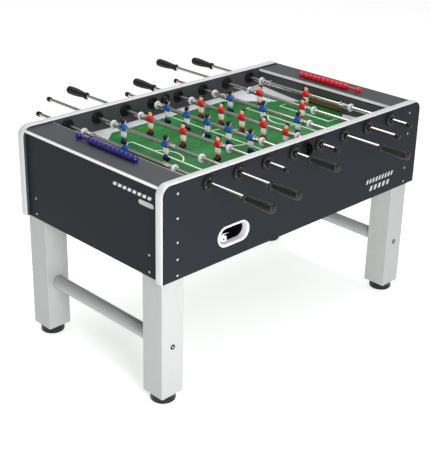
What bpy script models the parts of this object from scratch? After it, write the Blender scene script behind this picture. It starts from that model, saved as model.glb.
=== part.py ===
"""A full-size foosball table, as an assembly of separate parts.

Metres, +Z up. X runs along the pitch, from the left end to the right end, and Y along the
rods, from the front side panel to the rear one. The origin is on the floor, under the middle
of the whole table with its handles.
"""

import math
from collections import namedtuple

import bmesh
import bpy

# ---------------------------------------------------------------------------------------
# Driving dimensions
# ---------------------------------------------------------------------------------------

GAP = 0.0003  # between two parts that touch

# Cabinet
CABINET_WIDTH = 0.800  # over the two side panels
SIDE_LENGTH = 1.405
SIDE_THICKNESS = 0.032
SIDE_BOTTOM = 0.498
SIDE_TOP = 0.851
SIDE_CORNER = 0.040  # radius of the upper corners
CORNER_STEPS = 5
INSIDE_Y = CABINET_WIDTH / 2 - SIDE_THICKNESS
END_OUTSIDE = 0.688  # end panel's outer face, from the middle
END_THICKNESS = 0.016
PITCH_LEVEL = 0.747
PITCH_THICKNESS = 0.015
GOAL_WALL_INSIDE = 0.562  # goal wall's playing face, from the middle
GOAL_WALL_THICKNESS = 0.016
GOAL_HALF_WIDTH = 0.100
GOAL_TOP = 0.797
SHELF_OUTSIDE = 0.690
SHELF_BOTTOM = 0.824
SHELF_TOP = 0.840

# Legs
LEG_X = (0.584, 0.684)
LEG_Y = (0.280, 0.380)
LEG_BOTTOM = 0.0315
LEG_SHOULDER = SIDE_BOTTOM - 2 * GAP
POST_X = (0.586, END_OUTSIDE - END_THICKNESS - GAP)
POST_Y = (0.282, INSIDE_Y - GAP)
SOCKET_RADIUS = 0.0072
SOCKET_DEPTH = 0.036
FOOT_RADIUS = 0.046
FOOT_HEIGHT = 0.0307
FOOT_EDGE = 0.002
STEM_RADIUS = 0.006
STEM_LENGTH = 0.030
STRETCHER_RADIUS = 0.026
STRETCHER_LEVEL = 0.229

# Rods
ROD_LEVEL = 0.812
ROD_PITCH = 0.142
ROD_RADIUS = 0.008
BORE_RADIUS = 0.0087
BUSHING_RADIUS = 0.026
BUSHING_OUTWARD = 0.009  # how far the bushing stands out of the panel's outer face
BUSHING_INWARD = 0.008
HANDLE_LENGTH = 0.130
HANDLE_SOCKET = 0.110  # depth of the bore that the rod is pushed into
SOCKET_REST = 0.002  # left free at the bottom of that bore

Role = namedtuple("Role", "players pitch stub grip")  # stub and grip: from the rod's middle
ROLES = {
    "goalie": Role(1, 0.000, 0.535, 0.565),
    "defence": Role(2, 0.240, 0.600, 0.637),
    "attack": Role(3, 0.187, 0.526, 0.583),
    "midfield": Role(5, 0.116, 0.486, 0.520),
}
RODS = (  # team, role, how far it is pushed towards the rear, extra length at the grip
    ("blue", "goalie", 0.024, 0.026),
    ("blue", "defence", 0.0865, 0.0),
    ("red", "attack", 0.027, 0.0),
    ("blue", "midfield", 0.044, 0.0),
    ("red", "midfield", -0.005, 0.0),
    ("blue", "attack", 0.015, 0.0),
    ("red", "defence", 0.049, 0.0),
    ("red", "goalie", 0.034, 0.0),
)
HANDLE_SIDE = {"blue": -1, "red": 1}  # blue plays from the front

# Ball serving, ball return and score counters
SERVE_RADIUS = 0.020
CUP_X = -0.369
CUP_LEVEL = 0.587
CUP_STRAIGHT = 0.038  # half the straight stretch of the cup's stadium outline
CUP_INSIDE = 0.031
CUP_OUTSIDE = 0.0345
CUP_HOLE = 0.035
BEZEL_RADIUS = 0.039
BEZEL_THICKNESS = 0.004
CUP_BACK = -0.335
TROUGH_WALL = 0.003
TRAY_X = (-0.6685, -0.5820)  # inside faces
TRAY_Y = (-0.2755, 0.1185)
TRAY_TOP = 0.7405
TRAY_FLOOR = 0.614
TRAY_SLOPE = (-0.05, 0.06)  # rise per metre along X and Y
RUNWAY_X = (-0.5830, -0.2995)
RUNWAY_Y = (CUP_BACK, -0.2280)
RUNWAY_TOP = 0.645
RUNWAY_SLOPE = (-0.12, 0.20)
BALL_RADIUS = 0.017
BALL_Y = -0.380
BALL_CLEAR = 0.003  # from where the cup's floor starts to curve up
BEAD_RADIUS = 0.0125
BEAD_WAIST = 0.0105
BEAD_PITCH = 0.024
BEAD_CHAMFER = 0.0025
BEAD_COUNT = 10
BEAD_BORE = 0.0067
COUNTER_X = 0.604
COUNTER_LEVEL = 0.853
COUNTER_END = 0.1415  # where the pushed-along beads stop, from the middle

# A player facing +X with the rod through the chest: height, forward, half depth, half width
PLAYER_SECTIONS = (
    (-0.0605, 0.0035, 0.0115, 0.0110),  # sole
    (-0.0480, 0.0035, 0.0120, 0.0115),  # boots
    (-0.0420, 0.0000, 0.0070, 0.0105),  # ankles
    (-0.0220, 0.0005, 0.0090, 0.0135),  # hem of the shorts
    (0.0000, 0.0000, 0.0125, 0.0145),  # chest
    (0.0110, 0.0000, 0.0115, 0.0172),  # shoulders
    (0.0165, 0.0000, 0.0060, 0.0065),  # neck
    (0.0260, 0.0010, 0.0095, 0.0088),  # face
    (0.0360, -0.0005, 0.0045, 0.0042),  # crown
)

RING = 16
COARSE_RING = 12
SHARP_ANGLE = math.radians(40)


def reach_along_y():
    """The lowest and highest Y of all rods with their handles, from the cabinet's middle."""
    ends = []
    for team, role, offset, extra in RODS:
        side = HANDLE_SIDE[team]
        ends.append(offset + side * (ROLES[role].grip + extra + HANDLE_LENGTH))
        ends.append(offset - side * ROLES[role].stub)
    return min(ends), max(ends)


CABINET_Y = -sum(reach_along_y()) / 2  # puts the origin under the middle of the whole table


# ---------------------------------------------------------------------------------------
# Materials
# ---------------------------------------------------------------------------------------


def new_material(name, color, roughness, metallic=0.0):
    made = bpy.data.materials.new(name)
    made.use_nodes = True
    shader = made.node_tree.nodes["Principled BSDF"]
    shader.inputs["Base Color"].default_value = (*color, 1.0)
    shader.inputs["Roughness"].default_value = roughness
    shader.inputs["Metallic"].default_value = metallic
    return made


# ---------------------------------------------------------------------------------------
# Meshes
# ---------------------------------------------------------------------------------------


def loft(name, rings, closed=False):
    """Joins rings of equally many points. The ends are capped, or closed joins them."""
    shape = bmesh.new()
    loops = [[shape.verts.new(point) for point in ring] for ring in rings]
    pairs = list(zip(loops, loops[1:]))
    if closed:
        pairs.append((loops[-1], loops[0]))
    else:
        shape.faces.new(loops[0])
        shape.faces.new(loops[-1])
    for near, far in pairs:
        for i, corner in enumerate(near):
            j = (i + 1) % len(near)
            shape.faces.new((corner, near[j], far[j], far[i]))
    bmesh.ops.recalc_face_normals(shape, faces=shape.faces)
    mesh = bpy.data.meshes.new(name)
    shape.to_mesh(mesh)
    shape.free()
    return mesh


def circle(radius, steps, start=0.0):
    """Points round a circle in the plane, from the angle start."""
    angles = [start + math.tau * i / steps for i in range(steps)]
    return [(radius * math.cos(angle), radius * math.sin(angle)) for angle in angles]


def stadium(radius, straight, steps=COARSE_RING):
    """A long round outline: two half circles about (-straight, 0) and (straight, 0)."""
    points = []
    for side, start in ((1, -math.pi / 2), (-1, math.pi / 2)):
        for i in range(steps // 2 + 1):
            angle = start + math.pi * i / (steps // 2)
            points.append((side * straight + radius * math.cos(angle), radius * math.sin(angle)))
    return points


def along_y(outline, y, x=0.0, z=0.0):
    """The outline's ring across Y, about the point (x, y, z)."""
    return [(x + across, y, z + up) for across, up in outline]


def prism_y(name, outline, low, high, x=0.0, z=0.0):
    return loft(name, [along_y(outline, low, x, z), along_y(outline, high, x, z)])


def turned_y(name, profile, steps, x=0.0, z=0.0, closed=False):
    """A turned shape about the line along Y through (x, z). The profile holds (y, radius)."""
    rings = [along_y(circle(radius, steps), y, x, z) for y, radius in profile]
    return loft(name, rings, closed)


def turned_z(name, profile, steps):
    """A turned shape about Z. The profile holds (z, radius)."""
    return loft(name, [[(x, y, z) for x, y in circle(radius, steps)] for z, radius in profile])


def block(name, x_range, y_range, z_range):
    """A box between two values of each coordinate, given in either order."""
    (west, east), (south, north) = sorted(x_range), sorted(y_range)
    outline = ((west, south), (east, south), (east, north), (west, north))
    return loft(name, [[(x, y, z) for x, y in outline] for z in z_range])


def trough_block(name, x_range, y_range, floor, top):
    """A box whose underside follows floor(x, y)."""
    (west, east), (south, north) = x_range, y_range
    outline = ((west, south), (east, south), (east, north), (west, north))
    return loft(name, [[(x, y, floor(x, y)) for x, y in outline], [(x, y, top) for x, y in outline]])


def gathered(meshes):
    """One mesh of several that don't meet, to use as one Boolean tool."""
    shape = bmesh.new()
    for mesh in meshes:
        shape.from_mesh(mesh)
    joined = bpy.data.meshes.new("tool")
    shape.to_mesh(joined)
    shape.free()
    return joined


def combined(base, operation, tool):
    """The base mesh with the tool mesh united to it or cut from it."""
    holder = bpy.data.objects.new("holder", base)
    helper = bpy.data.objects.new("helper", tool)
    for obj in (holder, helper):
        bpy.context.scene.collection.objects.link(obj)
    step = holder.modifiers.new("combine", "BOOLEAN")
    step.operation = operation
    step.solver = "EXACT"
    step.object = helper
    graph = bpy.context.evaluated_depsgraph_get()
    result = bpy.data.meshes.new_from_object(holder.evaluated_get(graph))
    result.name = base.name
    for obj in (holder, helper):
        bpy.data.objects.remove(obj, do_unlink=True)
    return result


# ---------------------------------------------------------------------------------------
# Placing
# ---------------------------------------------------------------------------------------


def place(name, mesh, material, parent, location=(0.0, 0.0, 0.0), turn=0.0):
    """A named part. Copies may share one mesh, which then has its material already."""
    if not mesh.materials:
        mesh.materials.append(material)
        mesh.shade_smooth()
        mesh.set_sharp_from_angle(angle=SHARP_ANGLE)
    obj = bpy.data.objects.new(name, mesh)
    bpy.context.scene.collection.objects.link(obj)
    obj.parent = parent
    obj.location = location
    obj.rotation_euler.z = turn
    return obj


def new_empty(name, parent, location):
    empty = bpy.data.objects.new(name, None)
    empty.empty_display_size = 0.03
    bpy.context.scene.collection.objects.link(empty)
    empty.parent = parent
    empty.location = location
    return empty


# ---------------------------------------------------------------------------------------
# Cabinet
# ---------------------------------------------------------------------------------------


def rod_x(index):
    return (index - (len(RODS) - 1) / 2) * ROD_PITCH


def side_outline():
    """A side panel seen from the front, from its lower left corner round."""
    end = SIDE_LENGTH / 2
    points = [(-end, SIDE_BOTTOM), (end, SIDE_BOTTOM)]
    for side, start in ((1, 0.0), (-1, math.pi / 2)):
        for i in range(CORNER_STEPS + 1):
            angle = start + math.pi / 2 * i / CORNER_STEPS
            x = side * (end - SIDE_CORNER) + SIDE_CORNER * math.cos(angle)
            points.append((x, SIDE_TOP - SIDE_CORNER + SIDE_CORNER * math.sin(angle)))
    return points


def side_panel(side):
    """The front (side -1) or rear (side 1) panel, with its eight rod bushings."""
    outside, inside = side * CABINET_WIDTH / 2, side * INSIDE_Y
    board = prism_y("side_panel", side_outline(), outside, inside)
    nose, boss = outside + side * BUSHING_OUTWARD, inside - side * BUSHING_INWARD
    flange = circle(BUSHING_RADIUS, COARSE_RING)
    bore = circle(BORE_RADIUS, COARSE_RING)
    flanges, holes = [], []
    for index in range(len(RODS)):
        x = rod_x(index)
        flanges.append(prism_y("flange", flange, nose, boss, x, ROD_LEVEL))
        holes.append(prism_y("bore", bore, 2 * nose - outside, 2 * boss - inside, x, ROD_LEVEL))
    serve = circle(SERVE_RADIUS, RING)
    holes.append(prism_y("serve", serve, nose, boss, 0.0, ROD_LEVEL))
    cup = stadium(CUP_HOLE, CUP_STRAIGHT)
    holes.append(prism_y("cup", cup, nose, boss, -side * CUP_X, CUP_LEVEL))
    board = combined(board, "UNION", gathered(flanges))
    return combined(board, "DIFFERENCE", gathered(holes))


def end_panel(side):
    x_range = (side * END_OUTSIDE, side * (END_OUTSIDE - END_THICKNESS))
    return block("end_panel", x_range, (GAP - INSIDE_Y, INSIDE_Y - GAP), (SIDE_BOTTOM, SHELF_BOTTOM - GAP))


def end_shelf(side):
    """An end shelf with the goal wall that carries its inner edge."""
    inside = side * GOAL_WALL_INSIDE
    back = side * (GOAL_WALL_INSIDE + GOAL_WALL_THICKNESS)
    width = (GAP - INSIDE_Y, INSIDE_Y - GAP)
    wall_bottom = PITCH_LEVEL + GAP
    board = block("end_shelf", (inside, side * SHELF_OUTSIDE), width, (SHELF_BOTTOM, SHELF_TOP))
    overlap = (SHELF_BOTTOM + SHELF_TOP) / 2
    wall = block("wall", (inside, back), width, (wall_bottom, overlap))
    beyond = side * GOAL_WALL_THICKNESS / 2
    mouth = block(
        "mouth",
        (inside - beyond, back + beyond),
        (-GOAL_HALF_WIDTH, GOAL_HALF_WIDTH),
        (wall_bottom - GOAL_WALL_THICKNESS, GOAL_TOP),
    )
    return combined(combined(board, "UNION", wall), "DIFFERENCE", mouth)


def playfield():
    half = GOAL_WALL_INSIDE + GOAL_WALL_THICKNESS
    width = (GAP - INSIDE_Y, INSIDE_Y - GAP)
    return block("playfield", (-half, half), width, (PITCH_LEVEL - PITCH_THICKNESS, PITCH_LEVEL))


# ---------------------------------------------------------------------------------------
# Legs
# ---------------------------------------------------------------------------------------


def leg(end, side):
    """A square leg whose slimmer top is the cabinet's corner post, with a socket below."""
    shaft_x, shaft_y = [end * x for x in LEG_X], [side * y for y in LEG_Y]
    post_x, post_y = [end * x for x in POST_X], [side * y for y in POST_Y]
    shaft = block("leg", shaft_x, shaft_y, (LEG_BOTTOM, LEG_SHOULDER))
    overlap = LEG_SHOULDER - SIDE_THICKNESS
    post = block("post", post_x, post_y, (overlap, SHELF_BOTTOM - GAP))
    socket = turned_z(
        "socket",
        ((LEG_BOTTOM - SOCKET_DEPTH, SOCKET_RADIUS), (LEG_BOTTOM + SOCKET_DEPTH, SOCKET_RADIUS)),
        COARSE_RING,
    )
    for point in socket.vertices:
        point.co.x += sum(shaft_x) / 2
        point.co.y += sum(shaft_y) / 2
    return combined(combined(shaft, "UNION", post), "DIFFERENCE", socket)


def levelling_foot():
    """A round pad with the threaded stem that screws into the leg."""
    profile = (
        (0.0, FOOT_RADIUS - FOOT_EDGE),
        (FOOT_EDGE, FOOT_RADIUS),
        (FOOT_HEIGHT - FOOT_EDGE, FOOT_RADIUS),
        (FOOT_HEIGHT, FOOT_RADIUS - FOOT_EDGE),
        (FOOT_HEIGHT, STEM_RADIUS),
        (FOOT_HEIGHT + STEM_LENGTH, STEM_RADIUS),
    )
    return turned_z("levelling_foot", profile, RING)


def stretcher():
    """The round rail between the two legs of one end."""
    return prism_y("stretcher", circle(STRETCHER_RADIUS, RING), GAP - LEG_Y[0], LEG_Y[0] - GAP)


# ---------------------------------------------------------------------------------------
# Rods, handles and players
# ---------------------------------------------------------------------------------------


def rod(stub, grip):
    """A steel rod whose plain end points to +Y and whose gripped end points to -Y."""
    inside_handle = grip + HANDLE_SOCKET - SOCKET_REST
    return prism_y("rod", circle(ROD_RADIUS, RING), -inside_handle, stub)


def handle():
    """A tapered grip with a collar, from its collar at the origin towards -Y."""
    profile = (  # distance from the collar's face, radius
        (HANDLE_SOCKET, BORE_RADIUS),
        (0.000, BORE_RADIUS),
        (0.000, 0.0165),
        (0.002, 0.0180),
        (0.008, 0.0180),
        (0.011, 0.0132),
        (0.110, 0.0168),
        (0.123, 0.0145),
        (HANDLE_LENGTH, 0.0070),
    )
    return turned_y("handle", [(-y, radius) for y, radius in profile], COARSE_RING)


def player():
    """A player facing +X, with the bore for the rod at its origin."""
    rings = []
    corner = 1 / math.cos(math.pi / 8)
    for height, forward, half_depth, half_width in PLAYER_SECTIONS:
        octagon = circle(corner, 8, math.pi / 8)
        rings.append([(forward + half_depth * x, half_width * y, height) for x, y in octagon])
    bore = prism_y("bore", circle(BORE_RADIUS, COARSE_RING), -ROD_PITCH / 2, ROD_PITCH / 2)
    return combined(loft("player", rings), "DIFFERENCE", bore)


# ---------------------------------------------------------------------------------------
# Ball return, ball and score beads
# ---------------------------------------------------------------------------------------


def tray_floor(x, y):
    """The tray behind the goal falls towards the runway."""
    return TRAY_FLOOR + TRAY_SLOPE[0] * (x - TRAY_X[1]) + TRAY_SLOPE[1] * (y - TRAY_Y[0])


def runway_floor(x, y):
    """The runway falls towards the cup and along it."""
    cup_floor = CUP_LEVEL - CUP_INSIDE + GAP
    return cup_floor + RUNWAY_SLOPE[0] * (x - RUNWAY_X[1]) + RUNWAY_SLOPE[1] * (y - CUP_BACK)


def widened(span):
    return span[0] - TROUGH_WALL, span[1] + TROUGH_WALL


def ball_return():
    """The left goal's tray and runway, and the cup and bezel in the front panel."""

    def under(floor):
        return lambda x, y: floor(x, y) - TROUGH_WALL

    outside = -CABINET_WIDTH / 2
    joint_x = (TRAY_X[1], RUNWAY_X[1] + TROUGH_WALL)
    tray = trough_block("ball_return", widened(TRAY_X), widened(TRAY_Y), under(tray_floor), TRAY_TOP)
    runway = trough_block("runway", joint_x, widened(RUNWAY_Y), under(runway_floor), RUNWAY_TOP)
    cup = prism_y("cup", stadium(CUP_OUTSIDE, CUP_STRAIGHT), outside - 2 * GAP, CUP_BACK, CUP_X, CUP_LEVEL)
    front = outside - GAP - BEZEL_THICKNESS
    bezel = prism_y("bezel", stadium(BEZEL_RADIUS, CUP_STRAIGHT), front, outside - GAP, CUP_X, CUP_LEVEL)
    solid = tray
    for piece in (runway, cup, bezel):
        solid = combined(solid, "UNION", piece)
    beyond = TRAY_TOP + TROUGH_WALL
    hollows = (
        trough_block("tray_hollow", TRAY_X, TRAY_Y, tray_floor, beyond),
        trough_block("runway_hollow", RUNWAY_X, RUNWAY_Y, runway_floor, beyond),
        prism_y(
            "cup_hollow",
            stadium(CUP_INSIDE, CUP_STRAIGHT),
            front - BEZEL_THICKNESS,
            CUP_BACK + TROUGH_WALL,
            CUP_X,
            CUP_LEVEL,
        ),
    )
    for hollow in hollows:
        solid = combined(solid, "DIFFERENCE", hollow)
    return solid


def ball():
    shape = bmesh.new()
    bmesh.ops.create_icosphere(shape, subdivisions=2, radius=BALL_RADIUS)
    mesh = bpy.data.meshes.new("ball")
    shape.to_mesh(mesh)
    shape.free()
    return mesh


def score_beads():
    """Ten beads in a row along +Y from the origin, pushed together on their bar."""
    profile = [(0.0, BEAD_BORE)]
    for index in range(BEAD_COUNT):
        start = index * BEAD_PITCH
        profile.append((start, BEAD_WAIST))
        profile.append((start + BEAD_CHAMFER, BEAD_RADIUS))
        profile.append((start + BEAD_PITCH - BEAD_CHAMFER, BEAD_RADIUS))
    length = BEAD_COUNT * BEAD_PITCH
    profile += [(length, BEAD_WAIST), (length, BEAD_BORE)]
    return turned_y("score_beads", profile, COARSE_RING, closed=True)


# ---------------------------------------------------------------------------------------
# Assembly
# ---------------------------------------------------------------------------------------


def build_cabinet(cabinet):
    laminate = new_material("dark_laminate", (0.052, 0.058, 0.066), 0.42)
    shelf_laminate = new_material("shelf_laminate", (0.085, 0.088, 0.092), 0.38)
    pitch = new_material("pitch", (0.03, 0.26, 0.07), 0.40)
    for side, row in ((-1, "front"), (1, "rear")):
        place(f"{row}_side_panel", side_panel(side), laminate, cabinet)
    for end, column in ((-1, "left"), (1, "right")):
        place(f"{column}_end_panel", end_panel(end), laminate, cabinet)
        place(f"{column}_end_shelf", end_shelf(end), shelf_laminate, cabinet)
    place("playfield", playfield(), pitch, cabinet)


def build_legs(cabinet):
    laminate = new_material("light_laminate", (0.55, 0.56, 0.58), 0.45)
    rubber = new_material("foot_rubber", (0.012, 0.012, 0.013), 0.55)
    foot, rail = levelling_foot(), stretcher()
    for end, column in ((-1, "left"), (1, "right")):
        x = end * sum(LEG_X) / 2
        place(f"{column}_stretcher", rail, laminate, cabinet, (x, 0.0, STRETCHER_LEVEL))
        for side, row in ((-1, "front"), (1, "rear")):
            place(f"{row}_{column}_leg", leg(end, side), laminate, cabinet)
            place(f"{row}_{column}_foot", foot, rubber, cabinet, (x, side * sum(LEG_Y) / 2, 0.0))


def build_rods(cabinet):
    steel = new_material("rod_steel", (0.62, 0.61, 0.59), 0.18, 1.0)
    grip = new_material("grip_rubber", (0.010, 0.010, 0.011), 0.50)
    shirts = {
        "blue": new_material("blue_plastic", (0.02, 0.05, 0.40), 0.30),
        "red": new_material("red_plastic", (0.50, 0.01, 0.03), 0.30),
    }
    figures = {team: player() for team in shirts}
    grip_mesh = handle()
    for index, (team, name, offset, extra) in enumerate(RODS):
        role = ROLES[name]
        grip_distance = role.grip + extra
        turn = 0.0 if HANDLE_SIDE[team] < 0 else math.pi
        axis = new_empty(f"{team}_{name}_axis", cabinet, (rod_x(index), offset, ROD_LEVEL))
        place(f"{team}_{name}_rod", rod(role.stub, grip_distance), steel, axis, turn=turn)
        grip_y = HANDLE_SIDE[team] * grip_distance
        place(f"{team}_{name}_handle", grip_mesh, grip, axis, (0.0, grip_y, 0.0), turn)
        for number in range(role.players):
            y = (number - (role.players - 1) / 2) * role.pitch
            label = f"{team}_{name}_player_{number + 1}"
            place(label, figures[team], shirts[team], axis, (0.0, y, 0.0), turn)


def build_ball_parts(cabinet):
    white = new_material("return_plastic", (0.75, 0.75, 0.74), 0.40)
    ball_white = new_material("ball_plastic", (0.80, 0.80, 0.78), 0.45)
    unit = ball_return()
    place("front_ball_return", unit, white, cabinet)
    place("rear_ball_return", unit, white, cabinet, turn=math.pi)
    left_stop = CUP_X - CUP_STRAIGHT + BALL_CLEAR
    level = CUP_LEVEL - CUP_INSIDE + GAP + BALL_RADIUS
    place("ball", ball(), ball_white, cabinet, (left_stop, BALL_Y, level))


def build_counters(cabinet):
    length = BEAD_COUNT * BEAD_PITCH
    teams = (
        ("blue", -1, -COUNTER_END, (0.012, 0.010, 0.20)),
        ("red", 1, COUNTER_END - length, (0.55, 0.01, 0.03)),
    )
    for team, end, start, color in teams:
        shiny = new_material(f"{team}_bead_plastic", color, 0.25)
        place(f"{team}_score_beads", score_beads(), shiny, cabinet, (end * COUNTER_X, start, COUNTER_LEVEL))


def main():
    for obj in list(bpy.data.objects):
        bpy.data.objects.remove(obj, do_unlink=True)
    cabinet = new_empty("cabinet_middle", None, (0.0, CABINET_Y, 0.0))
    build_cabinet(cabinet)
    build_legs(cabinet)
    build_rods(cabinet)
    build_ball_parts(cabinet)
    build_counters(cabinet)


main()
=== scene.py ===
"""Looks of the foosball table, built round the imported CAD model. Metres, +Z up."""

import math

import bmesh
import bpy
from mathutils import Matrix, Vector


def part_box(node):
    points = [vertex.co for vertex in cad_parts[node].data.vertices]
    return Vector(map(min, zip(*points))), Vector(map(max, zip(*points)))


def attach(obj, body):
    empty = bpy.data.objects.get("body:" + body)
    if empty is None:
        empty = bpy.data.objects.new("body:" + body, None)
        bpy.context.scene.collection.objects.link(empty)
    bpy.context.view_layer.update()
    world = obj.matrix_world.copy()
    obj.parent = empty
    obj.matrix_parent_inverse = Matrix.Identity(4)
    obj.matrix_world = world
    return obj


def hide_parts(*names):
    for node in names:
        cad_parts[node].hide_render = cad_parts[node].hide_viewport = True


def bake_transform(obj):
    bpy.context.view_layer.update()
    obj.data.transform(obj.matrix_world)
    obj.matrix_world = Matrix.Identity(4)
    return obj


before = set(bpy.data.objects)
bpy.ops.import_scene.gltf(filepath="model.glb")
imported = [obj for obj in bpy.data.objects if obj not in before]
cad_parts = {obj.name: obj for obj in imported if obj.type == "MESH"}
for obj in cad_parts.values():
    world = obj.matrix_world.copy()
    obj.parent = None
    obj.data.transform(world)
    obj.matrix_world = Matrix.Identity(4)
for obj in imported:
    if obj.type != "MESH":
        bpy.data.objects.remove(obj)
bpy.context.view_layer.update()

# ---- Places, read from the CAD parts ----


def middle(node):
    """The X, Y and Z of the middle of a node's box."""
    return [(low + high) / 2 for low, high in zip(*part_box(node))]


pitch_low, pitch_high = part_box("playfield")
end_low, end_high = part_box("right_end_panel")
shelf_low, shelf_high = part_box("right_end_shelf")
side_low, side_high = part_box("front_side_panel")
rod_low, rod_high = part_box("blue_goalie_rod")

GAP = 0.0003  # between touching pieces
CABINET_Y = middle("playfield")[1]
PITCH_LEVEL = pitch_high.z
PITCH_HALF_LENGTH = pitch_high.x
INSIDE_Y = pitch_high.y - CABINET_Y + GAP
BOARD_Y = (0.0004 - INSIDE_Y, INSIDE_Y - 0.0004)  # from the cabinet's middle
LEG_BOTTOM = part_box("rear_right_leg")[0].z
ROD_LEVEL = middle("blue_goalie_rod")[2]
ROD_RADIUS = (rod_high.x - rod_low.x) / 2
ENDS = ((-1, "left"), (1, "right"))
SIDES = ((-1, "front"), (1, "rear"))

EDGE_BULGE = 0.003
SIDE_THICKNESS = 0.032
OUTSIDE_Y = INSIDE_Y + SIDE_THICKNESS
GOAL_FACE = shelf_low.x
GOAL_WALL = 0.016
GOAL_HALF_WIDTH = 0.1
GOAL_TOP = 0.797
SHELF_BOTTOM = 0.824

RODS = (  # team, role, players, spacing, how far the stop rings have slid outwards (front, rear)
    ("blue", "goalie", 1, 0.0, (0.01, -0.01)),
    ("blue", "defence", 2, 0.24, (0.1305, 0.0)),
    ("red", "attack", 3, 0.187, (0.0, 0.0)),
    ("blue", "midfield", 5, 0.116, (0.0, 0.0)),
    ("red", "midfield", 5, 0.116, (0.0, 0.0)),
    ("blue", "attack", 3, 0.187, (0.0, 0.033)),
    ("red", "defence", 2, 0.24, (0.0, 0.0)),
    ("red", "goalie", 1, 0.0, (-0.012, 0.006)),
)


def rod_x(index):
    team, role, *_ = RODS[index]
    return middle(f"{team}_{role}_rod")[0]


# ---- Materials ----

EVEN = (1.0, 1.0, 1.0)


def linear(red, green, blue):
    """A display colour, 0 to 255, as scene linear."""
    levels = (channel / 255 for channel in (red, green, blue))
    return tuple(v / 12.92 if v <= 0.04045 else ((v + 0.055) / 1.055) ** 2.4 for v in levels)


class Shader:
    """A Principled material whose nodes are added one by one."""

    def __init__(self, name, color, roughness, metallic=0.0, specular=0.5):
        self.material = bpy.data.materials.new(name)
        self.material.use_nodes = True
        self.tree = self.material.node_tree
        self.principled = self.tree.nodes["Principled BSDF"]
        self.color = color
        self.roughness = roughness
        self.set("Base Color", (*color, 1.0))
        self.set("Roughness", roughness)
        self.set("Metallic", metallic)
        self.set("Specular IOR Level", specular)
        self.place = None

    def set(self, socket, value):
        self.principled.inputs[socket].default_value = value

    def node(self, kind, **sockets):
        """A node with values on its sockets, where _ stands for a space in the socket's name."""
        made = self.tree.nodes.new(kind)
        for name, value in sockets.items():
            made.inputs[name.replace("_", " ")].default_value = value
        return made

    def maths(self, operation, *inputs):
        """A Math node's result. An input is a number or another node's socket."""
        made = self.node("ShaderNodeMath")
        made.operation = operation
        for socket, value in zip(made.inputs, inputs):
            if isinstance(value, float):
                socket.default_value = value
            else:
                self.link(value, socket)
        return made.outputs["Value"]

    def link(self, source, target):
        self.tree.links.new(source, target)

    def mapped(self, stretch=EVEN):
        """Object coordinates, stretched."""
        if self.place is None:
            self.place = self.node("ShaderNodeTexCoord")
        mapping = self.node("ShaderNodeMapping", Scale=stretch)
        self.link(self.place.outputs["Object"], mapping.inputs["Vector"])
        return mapping.outputs["Vector"]

    def noise(self, scale, stretch=EVEN, detail=4.0, rough=0.55):
        made = self.node("ShaderNodeTexNoise", Scale=scale, Detail=detail, Roughness=rough)
        self.link(self.mapped(stretch), made.inputs["Vector"])
        return made.outputs["Fac"]

    def ramp(self, factor, *stops):
        """A colour ramp through (place, colour) stops."""
        made = self.node("ShaderNodeValToRGB")
        made.color_ramp.elements[0].position = stops[0][0]
        made.color_ramp.elements[0].color = (*stops[0][1], 1.0)
        made.color_ramp.elements[1].position = stops[-1][0]
        made.color_ramp.elements[1].color = (*stops[-1][1], 1.0)
        for position, color in stops[1:-1]:
            made.color_ramp.elements.new(position).color = (*color, 1.0)
        self.link(factor, made.inputs["Fac"])
        return made.outputs["Color"]

    def tint(self, scale, amount, stretch=EVEN, detail=4.0):
        """Lighter and darker patches in the base colour."""
        dark = tuple(c * (1 - amount) for c in self.color)
        light = tuple(min(c * (1 + amount), 1.0) for c in self.color)
        color = self.ramp(self.noise(scale, stretch, detail), (0.3, dark), (0.7, light))
        self.link(color, self.principled.inputs["Base Color"])
        return self

    def polish(self, scale, spread, stretch=EVEN):
        """Roughness that varies by spread either way."""
        least, most = max(self.roughness - spread, 0.02), self.roughness + spread
        span = self.node("ShaderNodeMapRange", From_Min=0.3, From_Max=0.7, To_Min=least, To_Max=most)
        self.link(self.noise(scale, stretch), span.inputs["Value"])
        self.link(span.outputs["Result"], self.principled.inputs["Roughness"])
        return self

    def bump(self, scale, height, strength=0.4, stretch=EVEN):
        made = self.node("ShaderNodeBump", Strength=strength, Distance=height)
        self.link(self.noise(scale, stretch), made.inputs["Height"])
        self.link(made.outputs["Normal"], self.principled.inputs["Normal"])
        return self


def plastic(name, color, roughness=0.35, tint=0.05, specular=0.4):
    made = Shader(name, color, roughness, specular=specular)
    return made.tint(60, tint).polish(220, 0.05).bump(900, 0.00008, 0.25).material


def steel(name, color, roughness, stretch=EVEN, dents=0.3):
    made = Shader(name, color, roughness, metallic=1.0)
    return made.tint(30, 0.04, stretch).polish(160, 0.04, stretch).bump(500, 0.00004, dents, stretch).material


def laminate(name, color, roughness, stretch, tint, grain=170, specular=0.45):
    made = Shader(name, color, roughness, specular=specular)
    made.tint(grain, tint, stretch, detail=6.0).polish(90, 0.05, stretch)
    return made.bump(420, 0.00012, 0.3, stretch).material


def pitch_material():
    """Printed turf: soft mown streaks and patches of light and dark green."""
    made = Shader("pitch_green", linear(42, 138, 62), 0.42)
    broad = made.noise(7.0, (0.5, 1.0, 1.0), detail=3.0)
    fine = made.noise(48.0, (0.55, 1.4, 1.0), detail=6.0, rough=0.7)
    blend = made.maths("MULTIPLY_ADD", fine, 0.45, made.maths("MULTIPLY", broad, 0.55))
    color = made.ramp(
        blend,
        (0.34, linear(6, 84, 30)),
        (0.46, linear(14, 108, 42)),
        (0.55, linear(28, 128, 54)),
        (0.68, linear(70, 152, 72)),
    )
    made.link(color, made.principled.inputs["Base Color"])
    made.polish(120, 0.06)
    return made.bump(600, 0.0001, 0.3).material


def grip_material():
    made = Shader("grip_black", linear(16, 16, 15), 0.42, specular=0.32)
    return made.tint(80, 0.15).polish(260, 0.08).bump(1400, 0.0001, 0.3).material


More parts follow.
